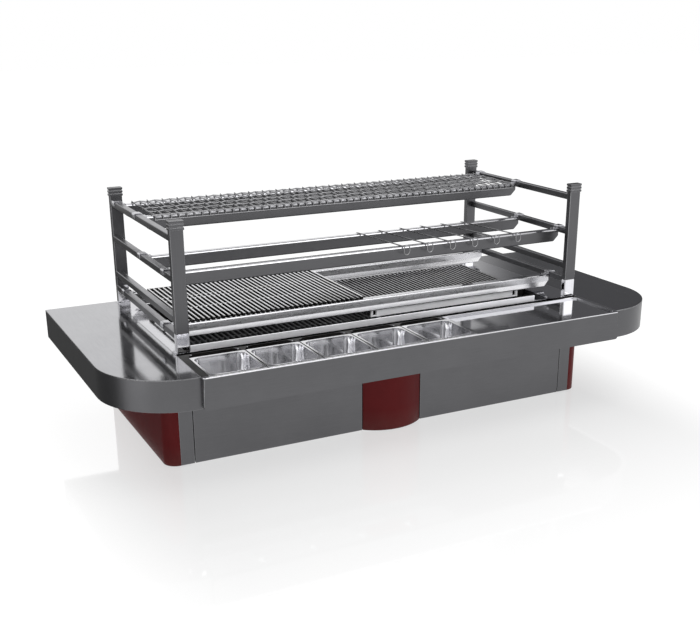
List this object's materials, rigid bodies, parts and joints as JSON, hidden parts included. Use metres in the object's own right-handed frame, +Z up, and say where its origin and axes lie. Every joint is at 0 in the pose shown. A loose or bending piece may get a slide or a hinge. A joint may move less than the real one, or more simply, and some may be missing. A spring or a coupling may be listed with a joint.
{
  "type": "robata grill",
  "caption": "Low charcoal grill table with a rail frame of hooked beams, rod grates, wire shelf, skewers, lift-out pans and sliding ash drawers.",
  "frame": {"origin": "on the floor under the middle of the table", "axes": "+X to the right along the table, +Y to the back, +Z up"},
  "size_m": [1.87, 0.876, 0.729],
  "materials": {
    "satin_steel_dark": "satin, dark",
    "polished_steel": "polished",
    "satin_steel": "satin",
    "red_paint": "satin red powder coat",
    "cast_iron": "as cast",
    "fire_brick": "rough fired",
    "foot_rubber": "matt"
  },
  "bodies": {
    "table": {"feet": "foot_rubber", "floor_pan": "satin_steel", "side_walls": "satin_steel", "back_wall": "satin_steel", "centre_bay": "satin_steel", "cross_rails": "satin_steel", "side_cover_left": "red_paint", "side_cover_right": "red_paint", "pilasters": "satin_steel_dark", "pillar_cover": "red_paint", "drawer_runners": "polished_steel", "firebox_tub": "satin_steel", "ash_chutes": "satin_steel", "fire_bricks": "fire_brick", "charcoal_grates": "cast_iron", "grate_bearers": "polished_steel", "front_rim": "polished_steel", "deck": "polished_steel", "end_top_left": "polished_steel", "end_top_right": "polished_steel", "end_fascia_left": "satin_steel_dark", "end_fascia_right": "satin_steel_dark", "front_fascia": "satin_steel_dark", "back_fascia": "satin_steel_dark", "front_tray": "polished_steel", "gussets": "satin_steel", "post_front_left": "satin_steel_dark", "post_front_right": "satin_steel_dark", "post_back_left": "satin_steel_dark", "post_back_right": "satin_steel_dark", "post_caps": "satin_steel_dark", "post_bolts": "polished_steel", "rails_left": "satin_steel_dark", "rails_right": "satin_steel_dark"},
    "ash_drawer_left": {"drawer_front_left": "satin_steel_dark", "drawer_box_left": "satin_steel"},
    "ash_drawer_right": {"drawer_front_right": "satin_steel_dark", "drawer_box_right": "satin_steel"},
    "lower_grate": {"lower_grate": "polished_steel", "grate_bar": "polished_steel"},
    "upper_grate": {"upper_grate": "polished_steel"},
    "mesh_shelf": {"mesh_shelf": "polished_steel", "mesh_hem": "polished_steel"},
    "beam_top_back": {"beam_top_back": "satin_steel_dark"},
    "beam_top_front": {"beam_top_front": "satin_steel_dark"},
    "beam_mid_back": {"beam_mid_back": "satin_steel_dark"},
    "beam_mid_front": {"beam_mid_front": "satin_steel_dark"},
    "beam_low_back": {"beam_low_back": "satin_steel_dark"},
    "beam_low_front": {"beam_low_front": "satin_steel_dark"},
    "skewer_1": {"skewer_1": "polished_steel"},
    "skewer_2": {"skewer_2": "polished_steel"},
    "skewer_3": {"skewer_3": "polished_steel"},
    "skewer_4": {"skewer_4": "polished_steel"},
    "skewer_5": {"skewer_5": "polished_steel"},
    "skewer_6": {"skewer_6": "polished_steel"},
    "pan_1": {"pan_1": "polished_steel"},
    "pan_2": {"pan_2": "polished_steel"},
    "pan_3": {"pan_3": "polished_steel"},
    "pan_4": {"pan_4": "polished_steel"},
    "pan_5": {"pan_5": "polished_steel"}
  },
  "joints": [
    {"name": "ash_drawer_left_slide", "type": "slide", "parent": "table", "child": "ash_drawer_left", "axis": [0, -1, 0], "range_m": [0, 0.42]},
    {"name": "ash_drawer_right_slide", "type": "slide", "parent": "table", "child": "ash_drawer_right", "axis": [0, -1, 0], "range_m": [0, 0.42]},
    {"name": "mesh_shelf_lift", "type": "slide", "parent": "table", "child": "mesh_shelf", "axis": [0, 0, 1], "range_m": [0, 0.12]},
    {"name": "upper_grate_lift", "type": "slide", "parent": "table", "child": "upper_grate", "axis": [0, 0, 1], "range_m": [0, 0.08]},
    {"name": "lower_grate_slide", "type": "slide", "parent": "table", "child": "lower_grate", "axis": [0, -1, 0], "range_m": [-0.015, 0.1]},
    {"name": "beam_top_back_slide", "type": "slide", "parent": "table", "child": "beam_top_back", "axis": [0, 1, 0], "range_m": [-0.08, 0.02]},
    {"name": "beam_top_front_slide", "type": "slide", "parent": "table", "child": "beam_top_front", "axis": [0, 1, 0], "range_m": [0, 0.08]},
    {"name": "beam_mid_back_slide", "type": "slide", "parent": "table", "child": "beam_mid_back", "axis": [0, 1, 0], "range_m": [-0.04, 0.25]},
    {"name": "beam_mid_front_slide", "type": "slide", "parent": "table", "child": "beam_mid_front", "axis": [0, 1, 0], "range_m": [-0.012, 0.14]},
    {"name": "beam_low_back_slide", "type": "slide", "parent": "table", "child": "beam_low_back", "axis": [0, 1, 0], "range_m": [-0.1, 0.04]},
    {"name": "beam_low_front_slide", "type": "slide", "parent": "table", "child": "beam_low_front", "axis": [0, 1, 0], "range_m": [-0.08, 0.08]},
    {"name": "skewer_1_lift", "type": "slide", "parent": "table", "child": "skewer_1", "axis": [0, 0, 1], "range_m": [0, 0.05]},
    {"name": "skewer_2_lift", "type": "slide", "parent": "table", "child": "skewer_2", "axis": [0, 0, 1], "range_m": [0, 0.05]},
    {"name": "skewer_3_lift", "type": "slide", "parent": "table", "child": "skewer_3", "axis": [0, 0, 1], "range_m": [0, 0.05]},
    {"name": "skewer_4_lift", "type": "slide", "parent": "table", "child": "skewer_4", "axis": [0, 0, 1], "range_m": [0, 0.05]},
    {"name": "skewer_5_lift", "type": "slide", "parent": "table", "child": "skewer_5", "axis": [0, 0, 1], "range_m": [0, 0.05]},
    {"name": "skewer_6_lift", "type": "slide", "parent": "table", "child": "skewer_6", "axis": [0, 0, 1], "range_m": [0, 0.05]},
    {"name": "pan_1_lift", "type": "slide", "parent": "table", "child": "pan_1", "axis": [0, 0, 1], "range_m": [0, 0.12]},
    {"name": "pan_2_lift", "type": "slide", "parent": "table", "child": "pan_2", "axis": [0, 0, 1], "range_m": [0, 0.12]},
    {"name": "pan_3_lift", "type": "slide", "parent": "table", "child": "pan_3", "axis": [0, 0, 1], "range_m": [0, 0.12]},
    {"name": "pan_4_lift", "type": "slide", "parent": "table", "child": "pan_4", "axis": [0, 0, 1], "range_m": [0, 0.12]},
    {"name": "pan_5_lift", "type": "slide", "parent": "table", "child": "pan_5", "axis": [0, 0, 1], "range_m": [0, 0.12]}
  ]
}
